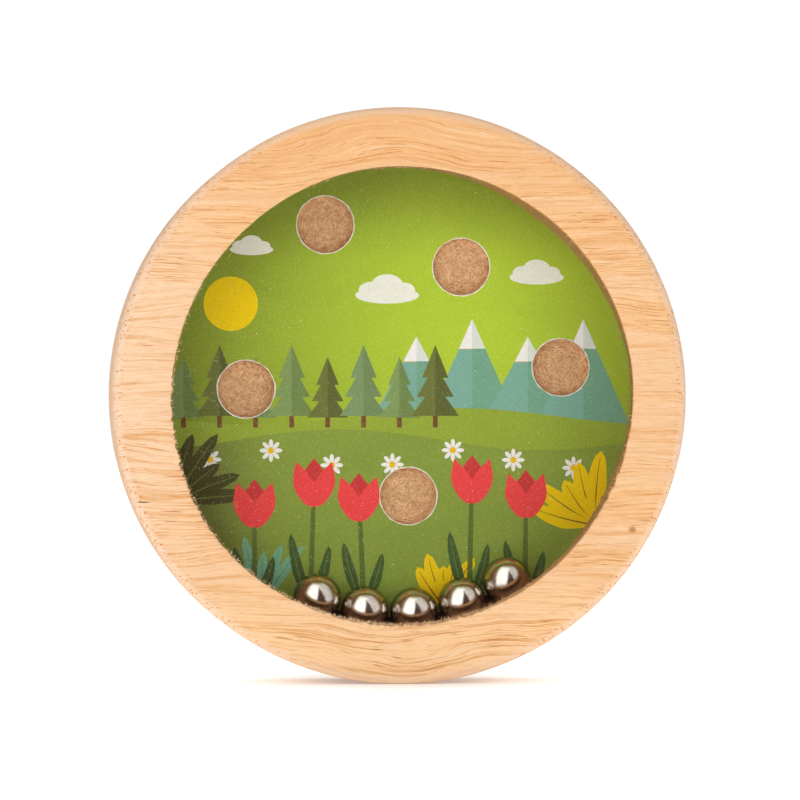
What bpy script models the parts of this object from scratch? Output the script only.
"""Round hand-held ball-in-pit puzzle: a turned wooden ring holds a clear window in front and a
printed board behind, and five steel balls roll between them until each drops into its own pit.

Everything is laid out flat in the puzzle's own axes, in millimetres: x to the right, y up the
picture, z out of the window towards the player. One empty then stands the puzzle on its rim,
so that it faces -Y with +Z up and the floor at z = 0.
"""

import bpy
import bmesh
from math import cos, pi, radians, sin

MM = 0.001

# Driving dimensions, in millimetres
OUTER_RADIUS = 48.0
THICKNESS = 19.0
FRONT_ROUND = 1.8
BACK_ROUND = 1.4
OPENING_RADIUS = 38.3
OPENING_BREAK = 0.3
LIP_DEPTH = 4.6
WINDOW_THICKNESS = 1.6
BALL_RADIUS = 4.0
CHAMBER_RADIUS = 40.6
CHAMBER_DEPTH = 8.7
BOARD_RADIUS = 43.0
BOARD_THICKNESS = 3.0
LABEL_THICKNESS = 0.3
PIT_RADIUS = 4.85
PIT_DEPTH = 1.6
EDGE_BREAK = 0.25
GAP = 0.3
RING_FACETS = 48
DISC_SEGMENTS = 96
PIT_SEGMENTS = 32

# Levels along z, counted from the middle of the thickness
FRONT = THICKNESS / 2
BACK = -THICKNESS / 2
LIP_BACK = FRONT - LIP_DEPTH
WINDOW_FRONT = LIP_BACK - GAP
WINDOW_BACK = WINDOW_FRONT - WINDOW_THICKNESS
LABEL_FRONT = WINDOW_BACK - CHAMBER_DEPTH
LABEL_BACK = LABEL_FRONT - LABEL_THICKNESS
SHOULDER = LABEL_FRONT + GAP
BOARD_FRONT = LABEL_BACK - GAP
BOARD_BACK = BOARD_FRONT - BOARD_THICKNESS

# Centres of the pits in the picture's plane
PITS = {
    "top_left": (-11.5, 28.9),
    "top_right": (11.6, 21.8),
    "left": (-24.9, 1.1),
    "right": (28.6, 4.8),
    "low": (2.6, -17.0),
}

# The balls lie in a row against the chamber wall, a little right of its lowest point
BALL_COUNT = 5
ROW_MIDDLE = radians(4.9)
ROW_PITCH = radians(13.1)
WALL_CLEARANCE = 0.15
TRACK_RADIUS = CHAMBER_RADIUS - WALL_CLEARANCE - BALL_RADIUS
BALL_LEVEL = (LABEL_FRONT + WINDOW_BACK) / 2

# The ring is a prism whose flats lie at the stated radii, and it stands on its lowest flat
FACET_HALF_ANGLE = pi / RING_FACETS
AXIS_HEIGHT = OUTER_RADIUS

SMOOTH_ANGLE = radians(30)


def clear_scene():
    for old in list(bpy.data.objects):
        bpy.data.objects.remove(old)


def material(name, color, roughness, metallic=0.0, alpha=1.0):
    made = bpy.data.materials.new(name)
    made.use_nodes = True
    shader = made.node_tree.nodes["Principled BSDF"]
    shader.inputs["Base Color"].default_value = (*color, 1.0)
    shader.inputs["Roughness"].default_value = roughness
    shader.inputs["Metallic"].default_value = metallic
    shader.inputs["Alpha"].default_value = alpha
    return made


def add_object(name, mesh, stand, look=None, location=(0, 0, 0)):
    """Puts a mesh in the scene under the stand. The location is in millimetres."""
    made = bpy.data.objects.new(name, mesh)
    bpy.context.scene.collection.objects.link(made)
    made.parent = stand
    made.location = [value * MM for value in location]
    if look:
        mesh.materials.append(look)
    return made


def mesh_from(bm, name):
    mesh = bpy.data.meshes.new(name)
    bm.to_mesh(mesh)
    bm.free()
    mesh.shade_smooth()
    mesh.set_sharp_from_angle(angle=SMOOTH_ANGLE)
    return mesh


def rounded_corner(radius, level, size, start, steps=4):
    """Points of a quarter round about (radius, level), from the angle start and turning clockwise."""
    points = []
    for step in range(steps + 1):
        angle = start - pi / 2 * step / steps
        points.append((radius + size * cos(angle), level + size * sin(angle)))
    return points


def ring_profile():
    """The ring's section as (radius, level), down its outer side and back up its stepped bore."""
    outer = rounded_corner(OUTER_RADIUS - FRONT_ROUND, FRONT - FRONT_ROUND, FRONT_ROUND, pi / 2)
    outer += rounded_corner(OUTER_RADIUS - BACK_ROUND, BACK + BACK_ROUND, BACK_ROUND, 0)
    bore = [
        (BOARD_RADIUS + GAP, BACK),
        (BOARD_RADIUS + GAP, SHOULDER),
        (CHAMBER_RADIUS, SHOULDER),
        (CHAMBER_RADIUS, LIP_BACK),
        (OPENING_RADIUS, LIP_BACK),
        (OPENING_RADIUS, FRONT - OPENING_BREAK),
        (OPENING_RADIUS + OPENING_BREAK, FRONT),
    ]
    return outer + bore


def make_ring(stand):
    """The frame: one turned ring of pale hardwood with a lip in front and a rebate behind."""
    profile = ring_profile()
    mesh = bpy.data.meshes.new("frame_ring")
    edges = [(index, (index + 1) % len(profile)) for index in range(len(profile))]
    to_corner = 1 / cos(FACET_HALF_ANGLE)
    mesh.from_pydata([(radius * to_corner * MM, 0, level * MM) for radius, level in profile], edges, [])
    ring = add_object("frame_ring", mesh, stand, material("pale_wood", (0.89, 0.63, 0.36), 0.55))
    ring.rotation_euler.z = FACET_HALF_ANGLE
    turn = ring.modifiers.new("turn", "SCREW")
    turn.axis = "Z"
    turn.steps = RING_FACETS
    turn.render_steps = RING_FACETS
    turn.use_merge_vertices = True
    turn.merge_threshold = 0.00001
    turn.use_smooth_shade = True
    return ring


def disc_mesh(name, radius, front, back, segments=DISC_SEGMENTS):
    bm = bmesh.new()
    bmesh.ops.create_cone(
        bm,
        cap_ends=True,
        segments=segments,
        radius1=radius * MM,
        radius2=radius * MM,
        depth=(front - back) * MM,
    )
    bmesh.ops.translate(bm, verts=bm.verts, vec=(0, 0, (front + back) / 2 * MM))
    return mesh_from(bm, name)


def break_edges(target, width):
    bevel = target.modifiers.new("broken_edge", "BEVEL")
    bevel.width = width * MM
    bevel.segments = 2
    bevel.limit_method = "ANGLE"
    bevel.angle_limit = radians(60)


def make_window(stand):
    """The clear disc that sits behind the lip."""
    mesh = disc_mesh("window", CHAMBER_RADIUS - GAP, WINDOW_FRONT, WINDOW_BACK)
    look = material("clear_acrylic", (0.95, 0.97, 0.98), 0.05, alpha=0.2)
    window = add_object("window", mesh, stand, look)
    break_edges(window, EDGE_BREAK)
    return window


def pit_cutters(stand, front, back, name):
    """One round cutter for each pit, between two levels."""
    cutters = []
    for place, (x, y) in PITS.items():
        mesh = disc_mesh(f"{name}_{place}", PIT_RADIUS, front, back, PIT_SEGMENTS)
        cutter = add_object(f"{name}_{place}", mesh, stand, location=(x, y, 0))
        cutter.hide_render = True
        cutter.display_type = "WIRE"
        cutters.append(cutter)
    return cutters


def cut(target, cutters):
    for cutter in cutters:
        boolean = target.modifiers.new(cutter.name, "BOOLEAN")
        boolean.operation = "DIFFERENCE"
        boolean.solver = "EXACT"
        boolean.object = cutter


def make_board(stand):
    """The fibreboard that closes the back, with five flat-bottomed pits in its front."""
    mesh = disc_mesh("game_board", BOARD_RADIUS, BOARD_FRONT, BOARD_BACK)
    board = add_object("game_board", mesh, stand, material("fibreboard", (0.45, 0.29, 0.18), 0.85))
    break_edges(board, EDGE_BREAK)
    cut(board, pit_cutters(stand, LABEL_FRONT + 1, LABEL_FRONT - PIT_DEPTH, "pit_cutter"))
    return board


def make_label(stand):
    """The printed sheet on the front of the board, cut through at the pits."""
    mesh = disc_mesh("printed_label", BOARD_RADIUS, LABEL_FRONT, LABEL_BACK)
    look = material("printed_paper", (0.32, 0.47, 0.08), 0.5)
    label = add_object("printed_label", mesh, stand, look)
    cut(label, pit_cutters(stand, LABEL_FRONT + 1, LABEL_BACK - 1, "hole_cutter"))
    return label


def make_balls(stand):
    """Five loose steel balls, all of one mesh."""
    bm = bmesh.new()
    bmesh.ops.create_uvsphere(bm, u_segments=28, v_segments=16, radius=BALL_RADIUS * MM)
    mesh = mesh_from(bm, "ball")
    mesh.materials.append(material("polished_steel", (0.75, 0.74, 0.73), 0.08, metallic=1.0))
    for number in range(BALL_COUNT):
        angle = ROW_MIDDLE + ROW_PITCH * (number - (BALL_COUNT - 1) / 2)
        place = (TRACK_RADIUS * sin(angle), -TRACK_RADIUS * cos(angle), BALL_LEVEL)
        add_object(f"ball_{number + 1}", mesh, stand, location=place)


def main():
    clear_scene()
    stand = bpy.data.objects.new("stand_on_rim", None)
    bpy.context.scene.collection.objects.link(stand)
    stand.location = (0, 0, AXIS_HEIGHT * MM)
    stand.rotation_euler.x = radians(90)
    make_ring(stand)
    make_window(stand)
    make_label(stand)
    make_board(stand)
    make_balls(stand)


main()
